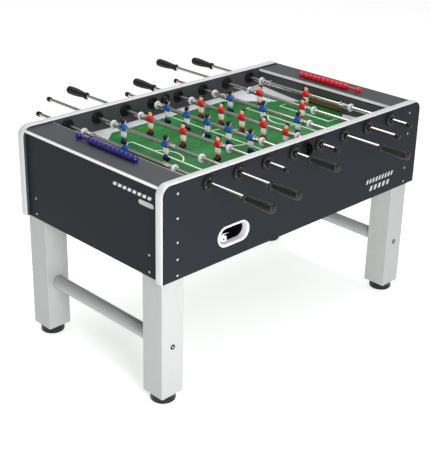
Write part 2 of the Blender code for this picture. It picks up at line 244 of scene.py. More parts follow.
def ramp_material():
    """Pale plastic with a fine slanting print."""
    made = Shader("ramp_grey", linear(222, 222, 230), 0.45)
    made.tint(160, 0.07, (1.0, 3.0, 1.0)).polish(200, 0.06)
    return made.bump(700, 0.0001, 0.3).material


def ball_material():
    """White with round black spots round the points of a scattered cell pattern."""
    made = Shader("ball_white", linear(240, 240, 236), 0.4)
    cells = made.node("ShaderNodeTexVoronoi", Scale=78.0, Randomness=0.35)
    made.link(made.mapped(), cells.inputs["Vector"])
    color = made.ramp(cells.outputs["Distance"], (0.3, linear(22, 22, 22)), (0.34, linear(240, 240, 236)))
    made.link(color, made.principled.inputs["Base Color"])
    return made.polish(200, 0.05).bump(500, 0.0001, 0.3).material


LOOK = {
    "panel": laminate("panel_slate", linear(35, 39, 44), 0.42, (1.0, 1.0, 3.0), 0.08, specular=0.06),
    "inside": laminate("panel_inside", linear(72, 74, 78), 0.42, (1.0, 1.0, 3.0), 0.08, specular=0.2),
    "shelf": laminate("shelf_grey", linear(74, 75, 78), 0.4, (6.0, 0.5, 1.0), 0.22, 260, 0.35),
    "leg": laminate("leg_silver", linear(178, 180, 179), 0.4, (4.0, 4.0, 0.25), 0.05, 120),
    "board": laminate("raw_board", linear(178, 122, 88), 0.7, (1.0, 0.6, 3.0), 0.18, 120),
    "edge": plastic("edge_white", linear(212, 213, 214), 0.3, 0.02),
    "strip": plastic("strip_white", linear(236, 236, 236), 0.38, 0.03),
    "white": plastic("moulded_white", linear(232, 232, 238), 0.3, 0.02),
    "black": plastic("moulded_black", linear(13, 13, 14), 0.34, 0.15, 0.25),
    # Matte black for the return chute, and painted shade for the dark inside each goal pocket.
    "dark": plastic("black_and_painted_shade", linear(10, 10, 11), 0.7, 0.15, 0.2),
    "cap": plastic("cap_black", linear(14, 14, 14), 0.4, 0.15, 0.3),
    "foot": plastic("foot_black", linear(16, 16, 17), 0.38, 0.15, 0.35),
    "mark": plastic("mark_grey", linear(186, 188, 188), 0.4, 0.04),
    "line": plastic("line_white", linear(226, 240, 228), 0.42, 0.03),
    "rod": steel("rod_chrome", (0.66, 0.63, 0.59), 0.15, (0.4, 0.02, 0.4), 0.02),
    "rail": laminate("rail_silver", linear(172, 175, 175), 0.34, (1.0, 0.05, 1.0), 0.03, 120),
    "spring": steel("spring_steel", linear(206, 204, 196), 0.22),
    "screw": steel("screw_zinc", linear(214, 208, 178), 0.28),
    "bolt": steel("bolt_black", linear(52, 52, 54), 0.35),
    "dull": steel("screw_dull", linear(120, 120, 112), 0.32),
    "blue_bead": plastic("bead_navy", linear(34, 28, 124), 0.14, 0.05, 0.6),
    "red_bead": plastic("bead_red", linear(214, 20, 44), 0.14, 0.05, 0.6),
    "pitch": pitch_material(),
    "grip": grip_material(),
    "ramp": ramp_material(),
    "ball": ball_material(),
    "skin": plastic("figure_skin", linear(250, 212, 170), 0.38, 0.04),
    "hair": plastic("figure_hair", linear(16, 14, 14), 0.3, 0.15),
    "shorts": plastic("figure_white", linear(252, 252, 248), 0.34, 0.01),
    "boots": plastic("figure_boots", linear(14, 14, 16), 0.3, 0.15),
    "blue": plastic("figure_blue", linear(14, 92, 186), 0.24, 0.05),
    "red": plastic("figure_red", linear(224, 20, 32), 0.24, 0.05),
}

# ---- Mesh making ----


class Shape:
    """Collects closed shells, each with a look, into one mesh."""

    def __init__(self):
        self.points, self.faces, self.looks, self.used = [], [], [], []

    def face(self, corners, look):
        if look not in self.used:
            self.used.append(look)
        self.faces.append(corners)
        self.looks.append(self.used.index(look))

    def loft(self, rings, look, closed=False):
        """Joins rings of equally many points. The ends are capped, or closed joins them."""
        start, count = len(self.points), len(rings[0])
        for ring in rings:
            self.points.extend(ring)
        pairs = [(i, i + 1) for i in range(len(rings) - 1)]
        if closed:
            pairs.append((len(rings) - 1, 0))
        else:
            self.face([start + i for i in range(count)], look)
            self.face([start + (len(rings) - 1) * count + i for i in range(count)], look)
        for near, far in pairs:
            for i in range(count):
                j = (i + 1) % count
                near_i, near_j = start + near * count + i, start + near * count + j
                far_i, far_j = start + far * count + i, start + far * count + j
                self.face([near_i, near_j, far_j, far_i], look)
        return self

    def turned(self, profile, look, steps=32, axis="Y", centre=(0, 0, 0), closed=False):
        """A turned shape. The profile holds (distance along the axis, radius)."""
        rings = []
        for along, radius in profile:
            rings.append([ring_point(axis, centre, along, a, b) for a, b in circle(radius, steps)])
        return self.loft(rings, look, closed)

    def block(self, low, high, look):
        (x0, y0, z0), (x1, y1, z1) = low, high
        outline = ((x0, y0), (x1, y0), (x1, y1), (x0, y1))
        return self.loft([[(x, y, z) for x, y in outline] for z in (z0, z1)], look)

    def slab(self, xs, ys, zs, look):
        """A block given from the cabinet's middle. The ends of a range come in any order."""
        low, high = zip(*(sorted(pair) for pair in (xs, ys, zs)))
        return self.block(in_cabinet(*low), in_cabinet(*high), look)

    def mesh(self, name, sharp=32, weld=0.0):
        """The mesh, crisp at edges over sharp degrees, with points closer than weld joined."""
        mesh = bpy.data.meshes.new(name)
        mesh.from_pydata([tuple(p) for p in self.points], [], self.faces)
        for look in self.used:
            mesh.materials.append(LOOK[look])
        mesh.polygons.foreach_set("material_index", self.looks)
        shape = bmesh.new()
        shape.from_mesh(mesh)
        if weld:
            bmesh.ops.remove_doubles(shape, verts=shape.verts, dist=weld)
        bmesh.ops.recalc_face_normals(shape, faces=shape.faces)
        shape.to_mesh(mesh)
        shape.free()
        return smooth(mesh, sharp)


def smooth(mesh, sharp=32):
    mesh.shade_smooth()
    mesh.set_sharp_from_angle(angle=math.radians(sharp))
    return mesh


def mm(*rows):
    """Rows of lengths given in millimetres, in metres."""
    return [tuple(length / 1000 for length in row) for row in rows]


def ring_point(axis, centre, along, a, b):
    """The point at (a, b) across the axis, along it from the centre."""
    x, y, z = centre
    if axis == "X":
        return (x + along, y + a, z + b)
    if axis == "Y":
        return (x + a, y + along, z + b)
    return (x + a, y + b, z + along)


def circle(radius, steps, start=0.0):
    angles = [start + math.tau * i / steps for i in range(steps)]
    return [(radius * math.cos(angle), radius * math.sin(angle)) for angle in angles]


def stadium(radius, straight, steps=24):
    """Two half circles about (-straight, 0) and (straight, 0), with their tangents."""
    points = []
    for side, start in ((1, -math.pi / 2), (-1, math.pi / 2)):
        for i in range(steps // 2 + 1):
            angle = start + math.pi * i / (steps // 2)
            points.append((side * straight + radius * math.cos(angle), radius * math.sin(angle)))
    return points


def between(start, end, steps):
    return [start + (end - start) * i / steps for i in range(steps + 1)]


def new_object(name, data):
    """An object in the scene that shows a mesh, a light or the camera."""
    obj = bpy.data.objects.new(name, data)
    bpy.context.scene.collection.objects.link(obj)
    return obj


def piece(name, mesh, location=(0.0, 0.0, 0.0), turn=0.0):
    """A visual piece, not yet tied to a body."""
    obj = new_object(name, mesh)
    obj.location = location
    obj.rotation_euler.z = turn
    return obj


def add(name, mesh, body, location=(0.0, 0.0, 0.0), turn=0.0, replaces=()):
    """A visual piece that rides on its CAD body."""
    obj = piece(name, mesh, location, turn)
    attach(obj, body)
    if replaces:
        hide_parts(*replaces)
    return obj


def in_cabinet(x, y, z):
    """A point given from the cabinet's middle."""
    return (x, y + CABINET_Y, z)


def cut(mesh, tool):
    """The mesh with the tool mesh cut from it."""
    holder, helper = new_object("holder", mesh), new_object("helper", tool)
    step = holder.modifiers.new("cut", "BOOLEAN")
    step.operation = "DIFFERENCE"
    step.solver = "EXACT"
    step.object = helper
    graph = bpy.context.evaluated_depsgraph_get()
    result = bpy.data.meshes.new_from_object(holder.evaluated_get(graph))
    result.name = mesh.name
    for obj in (holder, helper):
        bpy.data.objects.remove(obj, do_unlink=True)
    return smooth(result)


def bevelled(shape, name, width, replaces=()):
    """A piece of the fixed table with rounded edges."""
    obj = add(name, shape.mesh(name), "table", replaces=replaces)
    bevel = obj.modifiers.new("soft_edges", "BEVEL")
    bevel.width = width
    bevel.segments = 2
    bevel.limit_method = "ANGLE"
    bevel.angle_limit = math.radians(40)
    bevel.harden_normals = True


# ---- Cabinet ----

CORE_END = side_high.x - EDGE_BULGE
CORE_TOP = side_high.z - EDGE_BULGE
CORNER = 0.037
CUP_X, CUP_LEVEL, CUP_STRAIGHT = -0.369, 0.587, 0.038
ROD_HOLE, SERVE_HOLE, CUP_HOLE = 0.0125, 0.0215, 0.035
SCREW_RADIUS = 0.0044
SIDE_SCREWS = 0.631, (0.81, 0.722, 0.635, 0.573, 0.513)  # X either way, levels
END_SCREWS = 0.322, (0.58, 0.517)  # Y either way, levels
END_BARS = (-0.137, -0.339, 0.779, 0.791, 8)  # start, end, low, high, how many
FRONT_BARS = ((0.377, 0.555, 0.565, 0.583, 9), (0.402, 0.538, 0.531, 0.551, 5))


def side_path(steps=10):
    """Points and outward directions round a side panel's ends and top, in X and Z."""
    path = [((-CORE_END, side_low.z), (-1.0, 0.0))]
    for side, start in ((-1, math.pi), (1, math.pi / 2)):
        for i in range(steps + 1):
            angle = start - math.pi / 2 * i / steps
            out = (math.cos(angle), math.sin(angle))
            x = side * (CORE_END - CORNER) + CORNER * out[0]
            z = CORE_TOP - CORNER + CORNER * out[1]
            path.append(((x, z), out))
    path.append(((CORE_END, side_low.z), (1.0, 0.0)))
    return path


def side_board(side):
    """The laminated board, paler inside, with holes for the rods, the serve cup and the return cup."""
    outline = [point for point, _ in side_path()]
    outer, inner = CABINET_Y + side * OUTSIDE_Y, CABINET_Y + side * INSIDE_Y
    board = Shape().loft([[(x, y, z) for x, z in outline] for y in (outer, inner)], "panel")
    holes = Shape()
    past = (-0.01, SIDE_THICKNESS + 0.01)
    for x, radius in [(rod_x(index), ROD_HOLE) for index in range(len(RODS))] + [(0, SERVE_HOLE)]:
        span = [(outer - side * depth, radius) for depth in past]
        holes.turned(span, "dark", centre=(x, 0, ROD_LEVEL))
    cup = stadium(CUP_HOLE, CUP_STRAIGHT)
    rings = [[(-side * CUP_X + x, outer - side * d, CUP_LEVEL + z) for x, z in cup] for d in past]
    holes.loft(rings, "dark")
    mesh = cut(board.mesh("side_board"), holes.mesh("holes"))
    mesh.materials.append(LOOK["inside"])
    for face in mesh.polygons:
        if -side * face.normal.y > 0.9:
            face.material_index = len(mesh.materials) - 1
    return mesh


def side_edging(side):
    """The white moulding over the board's top and both ends, gently crowned across."""
    outer, inner = OUTSIDE_Y + GAP, INSIDE_Y - GAP
    tuck = 0.0012
    crown = []
    for across in between(0.0, 1.0, 12):
        y = outer + (inner - outer) * across
        rise = (1 - abs(2 * across - 1) ** 3.2) ** 0.55
        crown.append((y, EDGE_BULGE * (0.1 + 0.9 * rise)))
    rings = []
    for (x, z), (out_x, out_z) in side_path(14):
        ring = [(x + out_x * rise, CABINET_Y + side * y, z + out_z * rise) for y, rise in crown]
        for y in (inner, outer):
            ring.append((x - out_x * tuck, CABINET_Y + side * y, z - out_z * tuck))
        rings.append(ring)
    return Shape().loft(rings, "edge").mesh("side_edging", 50)


def build_sides():
    for side, row in SIDES:
        node = f"{row}_side_panel"
        add(f"{row}_side_board", side_board(side), "table", replaces=(node,))
        add(f"{row}_side_edging", side_edging(side), "table")
        screws = Shape()
        screw_x, levels = SIDE_SCREWS
        for x in (-screw_x, screw_x):
            for z in levels:
                screw(screws, (x, side * OUTSIDE_Y, z), "Y", side)
        add(f"{row}_side_screws", screws.mesh("side_screws"), "table", (0, CABINET_Y, 0))


def screw(shape, centre, axis, side):
    """A countersunk screw's head, slightly domed, with its cross cut shown as two dark bars that paint the
    shade in its recess.
    """
    radius = SCREW_RADIUS
    head = ((-0.0008, 1.0), (0.0002, 1.0), (0.0007, 0.82), (0.0009, 0.5), (0.001, 0.12))
    shape.turned([(side * along, radius * share) for along, share in head], "screw", 20, axis, centre)
    x, y, z = centre
    long, thin, lift = radius * 0.52, radius * 0.11, side * 0.00115
    # Dark bars over the head: painted shade for the cross recess.
    for wide, high in ((long, thin), (thin, long)):
        if axis == "Y":
            low, top = (x - wide, y, z - high), (x + wide, y + lift, z + high)
        else:
            low, top = (x, y - wide, z - high), (x + lift, y + wide, z + high)
        shape.block(low, top, "bolt")


def slanted_row(shape, face, out, start, end, low, high, count, gap, look):
    """A row of slanted bars, thin on an X face (out is an X step) or a Y face (out is a Y step)."""
    lean = 0.006 * math.copysign(1, end - start)
    step = (end - start) / count
    for i in range(count):
        left = start + step * i
        right = left + step * (1 - gap)
        outline = [(left, low), (right, low), (right + lean, high), (left + lean, high)]
        rings = []
        for lift in (-0.0002, 0.0003):
            ring = []
            for along, z in outline:
                spot = (face + out[0] * lift, along, z) if out[0] else (along, face + out[1] * lift, z)
                ring.append(in_cabinet(*spot))
            rings.append(ring)
        shape.loft(rings, look)


def build_marks():
    """Plain decorative bars where the cabinet carries its printed marks."""
    left = Shape()
    face = -end_high.x
    slanted_row(left, face, (-1, 0), *END_BARS, 0.34, "edge")
    pill_y, pill_z = -0.308, 0.76
    rings = []
    for lift in (-0.0002, 0.0004):
        rings.append([in_cabinet(face - lift, pill_y + y, pill_z + z) for y, z in stadium(0.0085, 0.029)])
    left.loft(rings, "mark")
    add("left_end_mark", left.mesh("end_mark"), "table")
    front = Shape()
    for bars in FRONT_BARS:
        slanted_row(front, -OUTSIDE_Y, (0, -1), *bars, 0.46, "mark")
    add("front_panel_mark", front.mesh("front_mark"), "table")


def build_ends():
    for end, column in ENDS:
        x_out, x_in = end * end_high.x, end * end_low.x
        panel = Shape().slab((x_out, x_in), BOARD_Y, (end_low.z, end_high.z), "panel")
        bevelled(panel, f"{column}_end_board", 0.0006, (f"{column}_end_panel",))
        screws = Shape()
        screw_y, levels = END_SCREWS
        for y in (-screw_y, screw_y):
            for z in levels:
                screw(screws, in_cabinet(x_out, y, z), "X", end)
        add(f"{column}_end_screws", screws.mesh("end_screws"), "table")
        build_shelf(end, column)


def build_shelf(end, column):
    """The shelf board on its packer, two pale edge strips, and the goal wall under its inner edge."""
    strip, thickness = 0.0008, 0.0112
    inner, outer = end * shelf_low.x, end * shelf_high.x
    top = shelf_high.z
    under = top - thickness
    core = (inner + end * strip, outer - end * strip)
    board = Shape().slab(core, BOARD_Y, (under, top), "shelf")
    board.slab(core, BOARD_Y, (SHELF_BOTTOM, under - 0.0001), "panel")
    bevelled(board, f"{column}_shelf_board", 0.0004, (f"{column}_end_shelf",))
    for label, edge, inward in (("inner", inner, end), ("outer", outer, -end)):
        lip = Shape().slab((edge, edge + inward * strip), BOARD_Y, (under - 0.0003, top + 0.0004), "strip")
        bevelled(lip, f"{column}_shelf_{label}_strip", 0.0003)
    wall_x = (end * (GOAL_FACE + 0.0006), end * (GOAL_FACE + GOAL_WALL))
    wall = Shape().slab(wall_x, BOARD_Y, (PITCH_LEVEL + GAP, SHELF_BOTTOM - GAP), "inside")
    mouth_x = (wall_x[0] - end * 0.01, wall_x[1] + end * 0.01)
    mouth_y = (-GOAL_HALF_WIDTH, GOAL_HALF_WIDTH)
    mouth = Shape().slab(mouth_x, mouth_y, (PITCH_LEVEL - 0.01, GOAL_TOP), "board")
    mesh = cut(wall.mesh("goal_wall"), mouth.mesh("mouth"))
    add(f"{column}_goal_wall", mesh, "table")


def build_goal_pockets():
    """The raw board behind each goal, and above it a black sheet of painted shade for the dark inside the
    goal pocket.
    """
    shade_y, shade_z = (-0.15, 0.15), (0.7445, 0.8225)
    sill_y, sill_z = (-0.118, 0.118), (0.742, 0.77)
    behind_wall = GOAL_FACE + GOAL_WALL
    for end, column in ENDS:
        # Black sheet inside the end panel: painted shade where the pocket lies in shadow above the lit board.
        shade_x = (end * (end_low.x - 0.0008), end * (end_low.x - 0.0048))
        shade_sheet = Shape().slab(shade_x, shade_y, shade_z, "dark")
        bevelled(shade_sheet, f"{column}_goal_shade_sheet", 0.0004)
        sill_x = (end * (behind_wall + 0.02), end * (behind_wall + 0.026))
        sill = Shape().slab(sill_x, sill_y, sill_z, "board")
        bevelled(sill, f"{column}_goal_backboard", 0.0008)


# ---- Pitch ----

LINE = 0.006
LINE_RISE = 0.00025
HALFWAY_REACH, CIRCLE_RADIUS = 0.345, 0.098
GOAL_AREAS = ((0.447, 0.136), (0.316, 0.206))  # how far from the middle, half width
PENALTY_ARC = (0.3546, 0.0866)  # centre's distance from the middle, radius


def arc_points(centre, radius, start, end, steps):
    cx, cy = centre
    return [(cx + radius * math.cos(a), cy + radius * math.sin(a)) for a in between(start, end, steps)]


def line_shell(shape, points, loop=False):
    """A flat line of even width along points on the pitch."""
    count = len(points)
    rings = []
    for i, (x, y) in enumerate(points):
        before = points[(i - 1) % count] if loop or i else points[i]
        after = points[(i + 1) % count] if loop or i < count - 1 else points[i]
        along = Vector((after[0] - before[0], after[1] - before[1])).normalized()
        across = Vector((-along.y, along.x)) * LINE / 2
        if 0 < i < count - 1 or loop:
            arriving = Vector((x - before[0], y - before[1])).normalized()
            across /= max(along.dot(arriving), 0.5)
        low, high = PITCH_LEVEL - 0.0002, PITCH_LEVEL + LINE_RISE
        left, right = (x + across.x, y + across.y), (x - across.x, y - across.y)
        ring = [(*left, low), (*right, low), (*right, high), (*left, high)]
        rings.append([in_cabinet(*p) for p in ring])
    shape.loft(rings, "line", closed=loop)


def build_pitch():
    length = (-PITCH_HALF_LENGTH, PITCH_HALF_LENGTH)
    board = Shape().slab(length, BOARD_Y, (pitch_low.z, PITCH_LEVEL), "pitch")
    bevelled(board, "pitch_board", 0.0004, ("playfield",))
    lines = Shape()
    line_shell(lines, [(0.0, -HALFWAY_REACH), (0.0, HALFWAY_REACH)])
    steps = 64
    circle_points = arc_points((0.0, 0.0), CIRCLE_RADIUS, 0.0, math.tau * (steps - 1) / steps, steps - 1)
    line_shell(lines, circle_points, loop=True)
    for end in (-1, 1):
        goal_line = end * GOAL_FACE
        for reach, y in GOAL_AREAS:
            x = end * reach
            line_shell(lines, [(goal_line, -y), (x, -y), (x, y), (goal_line, y)])
        arc_x, radius = PENALTY_ARC
        bulge = math.acos((arc_x - GOAL_AREAS[1][0]) / radius)
        inward = 0.0 if end < 0 else math.pi
        line_shell(lines, arc_points((end * arc_x, 0.0), radius, inward - bulge, inward + bulge, 24))
    add("pitch_lines", lines.mesh("pitch_lines"), "table")


STRIP_FOOT = 0.336
RAMP_START = 0.309


def build_strips():
    """The sloping strips along both long sides and the four corner ramps."""
    foot, wall = STRIP_FOOT, INSIDE_Y - 0.0006
    section = [(foot, 0.0002), (foot, 0.0016), (foot + 0.004, 0.0034), (wall, 0.01), (wall, 0.0002)]
    reach = RAMP_START - 0.0005
    for side, row in SIDES:
        rings = []
        for x in between(-reach, reach, 24):
            rings.append([in_cabinet(x, side * y, PITCH_LEVEL + z) for y, z in section])
        add(f"{row}_side_strip", Shape().loft(rings, "ramp").mesh("side_strip", 20), "table")
        for end, column in ENDS:
            add(f"{row}_{column}_ramp", corner_ramp(end, side), "table")


def corner_ramp(end, side):
    """A moulded corner: thin along its front edge, and rising to the walls behind it."""
    wall_x, wall_y = GOAL_FACE - 0.0008, INSIDE_Y - 0.0006
    front = [  # X, Y, height
        (RAMP_START, wall_y, 0.01), (RAMP_START, STRIP_FOOT, 0.0016), (0.373, 0.281, 0.0012),
        (0.436, 0.226, 0.0012), (0.499, 0.171, 0.0012), (0.561, 0.116, 0.0012),
    ]
    corner_height, steps = 0.021, 8
    shape, top = Shape(), []
    for x, y, height in front:
        for t in between(0.0, 1.0, steps):
            rise = height + (corner_height - height) * t**1.25
            px, py = x + (wall_x - x) * t, y + (wall_y - y) * t
            top.append(in_cabinet(end * px, side * py, PITCH_LEVEL + rise))
    row = steps + 1
    shape.points = top + [(x, y, PITCH_LEVEL + 0.0002) for x, y, _ in top]
    below = len(top)
    for i in range(len(front) - 1):
        for j in range(steps):
            a, b = i * row + j, (i + 1) * row + j
            quad = [a, b, b + 1, a + 1]
            shape.face(quad, "ramp")
            shape.face([below + k for k in reversed(quad)], "ramp")
        shape.face([i * row, (i + 1) * row, below + (i + 1) * row, below + i * row], "ramp")
    for i in (0, len(front) - 1):
        for j in range(steps):
            a = i * row + j
            shape.face([a, a + 1, below + a + 1, below + a], "ramp")
    return shape.mesh("corner_ramp", 12, weld=0.00002)


# ---- Bushings, serve cups, ball return ----


def bushing_mesh(side, outside):
    """A thick flange with a rounded rim and a sunk middle, held by three screws."""
    out = side if outside else -side
    face = 0.009 if outside else 0.008
    well, well_radius = (0.0044, 0.0118) if outside else (0.0068, 0.0165)
    # Inside the cabinet the same screw heads are black: painted shade.
    head_look = "dull" if outside else "black"
    screw_circle = 0.0196
    profile = [
        (0.0003, 0.0088), (0.0003, 0.026), (face - 0.003, 0.026), (face - 0.0012, 0.0252),
        (face - 0.0003, 0.0238), (face, 0.0222), (face, well_radius + 0.0022),
        (face - 0.0004, well_radius + 0.001), (face - 0.0014, well_radius + 0.0002),
        (well + 0.0002, well_radius), (well, well_radius - 0.0004), (well, 0.0088),
    ]
    if not outside:
        profile[-1:] = [(well, 0.0122), (face, 0.0116), (face, 0.0096), (well, 0.0088)]
    profile = [(out * along, radius) for along, radius in profile]
    shape = Shape().turned(profile, "black", 48, closed=True)
    head = mm((-0.8, 2.4), (0.4, 2.3), (0.9, 1.4), (1, 0.3))
    head = [(out * (face + along), radius) for along, radius in head]
    for x, z in circle(screw_circle, 3, math.radians(205)):
        shape.turned(head, head_look, 16, centre=(x, 0, z))
    return shape.mesh("bushing", 35)


def serve_cup_mesh(side):
    """A scoop through the side panel: a flared lip that reaches further below, and a short rim inside."""
    depth = SIDE_THICKNESS
    profile = [  # along, radius, how much further the lower part reaches
        (0.0003, 0.0208, 0.0), (0.0003, 0.0262, 0.0), (0.0026, 0.0262, 0.0), (0.0038, 0.0248, 0.0),
        (0.0042, 0.0226, 0.0), (0.0096, 0.023, 0.003), (0.0112, 0.0234, 0.004),
        (0.012, 0.0226, 0.004), (0.0112, 0.0214, 0.004), (0.005, 0.02, 0.001),
        (-0.012, 0.0188, 0.0), (-depth - 0.001, 0.018, 0.0), (-depth - 0.0022, 0.0188, 0.0),
        (-depth - 0.0022, 0.0236, 0.0), (-depth - 0.0004, 0.024, 0.0),
        (-depth - 0.0004, 0.0208, 0.0),
    ]
    rings = []
    for along, radius, reach in profile:
        ring = []
        for x, z in circle(radius, 48):
            ring.append((x, side * (along - reach * z / radius), z))
        rings.append(ring)
    return Shape().loft(rings, "black", closed=True).mesh("serve_cup", 35)


def build_bushings():
    for side, row in SIDES:
        meshes = {"outer": bushing_mesh(side, True), "inner": bushing_mesh(side, False)}
        places = {"outer": side * OUTSIDE_Y, "inner": side * INSIDE_Y}
        for index, (team, role, *_) in enumerate(RODS):
            for layer, mesh in meshes.items():
                spot = in_cabinet(rod_x(index), places[layer], ROD_LEVEL)
                add(f"{row}_{team}_{role}_bushing_{layer}", mesh, "table", spot)
        spot = in_cabinet(0.0, side * OUTSIDE_Y, ROD_LEVEL)
        add(f"{row}_serve_cup", serve_cup_mesh(side), "table", spot)


def return_bezel():
    """The white cup: a rounded lip round the hole and walls that run back into the panel."""
    front = -OUTSIDE_Y
    profile = [  # how far back, outward from the inner outline
        (0.0002, 0.0078), (-0.0026, 0.008), (-0.004, 0.0068), (-0.0044, 0.0044), (-0.004, 0.002),
        (-0.0024, 0.0004), (0.004, 0.0), (0.024, 0.0), (0.024, 0.0018), (0.0006, 0.0032),
    ]
    rings = []
    for back, outward in profile:
        outline = stadium(0.0312 + outward, CUP_STRAIGHT, 40)
        rings.append([(CUP_X + x, front + back, CUP_LEVEL + z) for x, z in outline])
    return Shape().loft(rings, "white", closed=True).mesh("return_bezel", 45)


def return_chute():
    """The black runway behind the cup and the tray behind the goal, as thin folded walls."""
    shape = Shape()
    low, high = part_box("front_ball_return")
    tray_x = (low.x, -0.579)
    tray_y = (-0.2785, 0.1215)
    lid = high.z
    wall = 0.003
    floor_rear, floor_front = 0.64, 0.616
    tray_mouth = 0.65  # the lower edge of the tray's wall beside the goal
    turns = ((0, 0), (1, 0), (1, 1), (0, 1))
    corners = [(tray_x[i], tray_y[j]) for i, j in turns]

    def level(y):
        share = (y - tray_y[0]) / (tray_y[1] - tray_y[0])
        return floor_front + (floor_rear - floor_front) * share

    under = [(x, y, level(y) - wall) for x, y in corners]
    over = [(x, y, level(y)) for x, y in corners]
    shape.loft([under, over], "dark")
    for (x0, y0), (x1, y1) in zip(corners, corners[1:] + corners[:1]):
        spread_x, spread_y = (wall / 2, 0) if x0 == x1 else (0, wall / 2)
        bottom = tray_mouth if x0 == x1 == tray_x[1] else level(min(y0, y1)) - wall
        start = (min(x0, x1) - spread_x, min(y0, y1) - spread_y, bottom)
        shape.block(start, (max(x0, x1) + spread_x, max(y0, y1) + spread_y, lid), "dark")
    run_x, run_y = (-0.582, -0.2965), (-0.338, -0.225)
    cup_from, top, fall = -0.44, 0.645, 0.556
    rises = (0.034, 0.0, 0.022, 0.056)
    floor = [(run_x[i], run_y[j], fall + rise) for (i, j), rise in zip(turns, rises)]
    shape.loft([[(x, y, z - wall) for x, y, z in floor], floor], "dark")
    shape.block((run_x[1] - wall, run_y[0], fall - wall), (run_x[1], run_y[1], top), "dark")
    shape.block((run_x[0], run_y[1] - wall, fall), (run_x[1], run_y[1], top), "dark")
    shape.block((run_x[0], run_y[0], fall + 0.012), (cup_from, run_y[0] + wall, top), "dark")
    shape.block((cup_from, run_y[0], CUP_LEVEL + 0.031), (run_x[1], run_y[0] + wall, top), "dark")
    shape.block((run_x[0], run_y[0], top - 0.001), (run_x[1], run_y[1], top), "dark")
    sleeve = []
    for back, radius in mm((24.5, 34.4), (64, 34.4), (64, 32.2), (24.5, 32.2)):
        outline = stadium(radius, CUP_STRAIGHT, 40)
        sleeve.append([(CUP_X + x, -OUTSIDE_Y + back, CUP_LEVEL + z) for x, z in outline])
    shape.loft(sleeve, "dark", closed=True)
    return shape.mesh("return_chute", 35)


def build_ball_return():
    bezel, chute = return_bezel(), return_chute()
    for row, turn in (("front", 0.0), ("rear", math.pi)):
        spot = (0.0, CABINET_Y, 0.0)
        node = f"{row}_ball_return"
        add(f"{row}_return_bezel", bezel, "table", spot, turn, (node,))
        add(f"{row}_return_chute", chute, "table", spot, turn)
    low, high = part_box("ball")
    radius = (high.x - low.x) / 2 * 0.998  # a little smaller than the CAD ball
    sphere = bmesh.new()
    bmesh.ops.create_icosphere(sphere, subdivisions=5, radius=radius)
    mesh = bpy.data.meshes.new("game_ball")
    sphere.to_mesh(mesh)
    sphere.free()
    mesh.materials.append(LOOK["ball"])
    mesh.shade_smooth()
    add("game_ball", mesh, "game_ball", (low + high) / 2, 0.4, ("ball",))


# ---- Rods ----


def rod_mesh(low, high):
    """A chromed rod with chamfered ends, along Y from low to high about the origin's X and Z."""
    chamfer = 0.0008
    rings = [(low, ROD_RADIUS - chamfer), (low + chamfer, ROD_RADIUS)]
    rings += [(y, ROD_RADIUS) for y in between(low + 0.02, high - 0.02, 40)]
    rings += [(high - chamfer, ROD_RADIUS), (high, ROD_RADIUS - chamfer)]
    return Shape().turned(rings, "rod", 40).mesh("rod", 40)


def cap_mesh(side, sleeve):
    """The soft cap over a rod's plain end, its sleeve towards the cabinet."""
    wall, end = 0.0024, 0.003
    radius, bore = ROD_RADIUS + wall, ROD_RADIUS + 0.0002
    profile = [
        (-sleeve, bore), (-sleeve, radius - 0.0005), (-(sleeve - 0.0007), radius),
        (end - 0.004, radius), (end - 0.002, radius - 0.0007), (end - 0.0006, radius - 0.0026),
        (end, radius - 0.0056), (end, 0.0006), (0.0002, 0.0006), (0.0002, bore),
    ]
    profile = [(side * along, r) for along, r in profile]
    return Shape().turned(profile, "cap", closed=True).mesh("rod_cap", 35)


def handle_mesh():
    """A grip from its guard at the origin towards -Y: guard, neck, ribbed swelling body, round end."""
    length = 0.13
    profile = mm(
        (108, 8.2), (0, 8.2), (0, 11.2), (0.8, 12.2), (4, 12.6), (4.6, 14.6), (5.6, 15.2),
        (9.2, 15.2), (10.4, 14.4), (11.2, 12.4), (12.8, 11.6),
    )
    rib_start, rib_end, ribs = 0.015, 0.113, 17
    for i in range(ribs):
        for phase, depth in ((0.0, -0.0003), (0.26, 0.0007), (0.5, 0.0009), (0.74, 0.0007)):
            share = (i + phase) / ribs
            y = rib_start + (rib_end - rib_start) * share
            swell = 0.0116 + 0.0056 * math.sin(min(share * 1.12, 1.0) * math.pi / 2) ** 1.3
            profile.append((y, swell + depth - 0.0005))
    profile += mm((114.5, 16.9), (116.5, 17.2), (120.5, 16.9), (124, 16))
    profile += [(0.127, 0.0143), (0.1288, 0.012), (0.1297, 0.0092), (length, 0.006), (length, 0.0012)]
    mirrored = [(-y, radius) for y, radius in profile]
    return Shape().turned(mirrored, "grip", 40).mesh("handle", 50)


def ring_mesh():
    """The white stop ring: a rounded rim and a hub with a thin web between them."""
    face = mm((4.2, 8.7), (4.2, 10.3), (3.6, 10.8), (0.8, 11))
    face += mm((0.8, 13.3), (3.4, 13.5), (4.2, 14), (4.2, 15))
    face += mm((3.6, 15.9), (2.2, 16.4))
    profile = face + [(-along, radius) for along, radius in reversed(face)]
    return Shape().turned(profile, "white", 40, closed=True).mesh("stop_ring", 40)


def spring_mesh(length, turns):
    """A compression spring on the rod, centred, with its end turns closed up."""
    wire, coil = 0.00095, 0.0101
    rings = []
    steps = 20
    for i in range(turns * steps + 1):
        share = i / (turns * steps)
        angle = share * turns * math.tau
        eased = share - math.sin(share * math.tau) * 0.05
        y = (eased - 0.5) * (length - 2 * wire)
        out = Vector((math.cos(angle), 0.0, math.sin(angle)))
        ring = []
        for a, b in circle(wire, 8):
            point = out * (coil + a) + Vector((0.0, y + b, 0.0))
            ring.append(tuple(point))
        rings.append(ring)
    return Shape().loft(rings, "spring").mesh("spring", 60)


